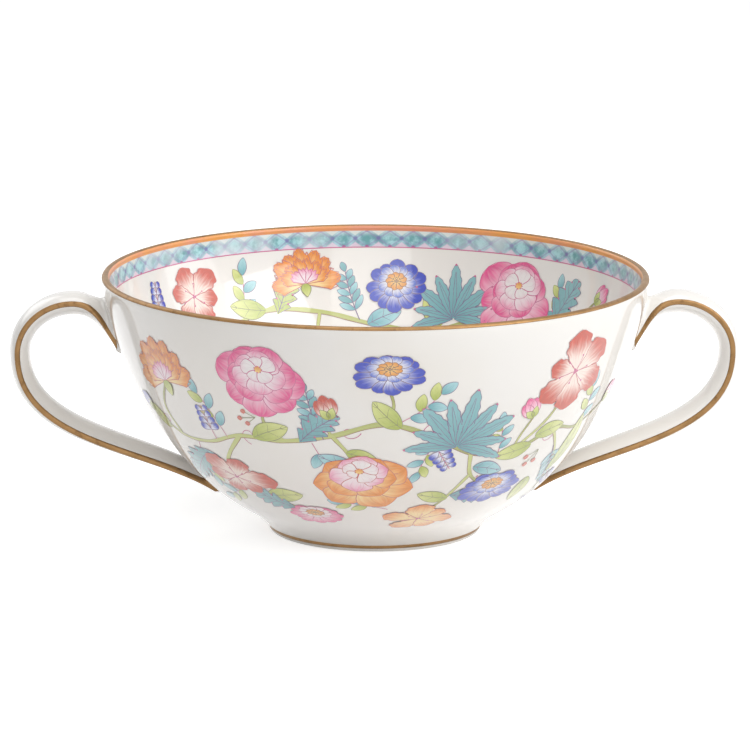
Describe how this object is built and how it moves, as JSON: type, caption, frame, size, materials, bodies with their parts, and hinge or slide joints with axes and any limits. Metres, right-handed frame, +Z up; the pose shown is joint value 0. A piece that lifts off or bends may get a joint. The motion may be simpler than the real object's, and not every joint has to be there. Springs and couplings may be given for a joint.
{
  "type": "bouillon cup",
  "caption": "Deep round bowl in white bone china on a low foot ring, with a looped strap handle on either side, gilt edges and painted flowers.",
  "frame": {"origin": "centre of the circle on which the foot ring stands, on the table's plane", "axes": "+Z up along the bowl's axis, +X towards one handle and -X towards the other, -Y towards the viewer of the picture"},
  "size_m": [0.1444, 0.108, 0.0515],
  "materials": {
    "china": "clear gloss glaze over white bone china, with painted enamels and dull gilding"
  },
  "bodies": {
    "root": {"cup": "china"}
  },
  "joints": []
}
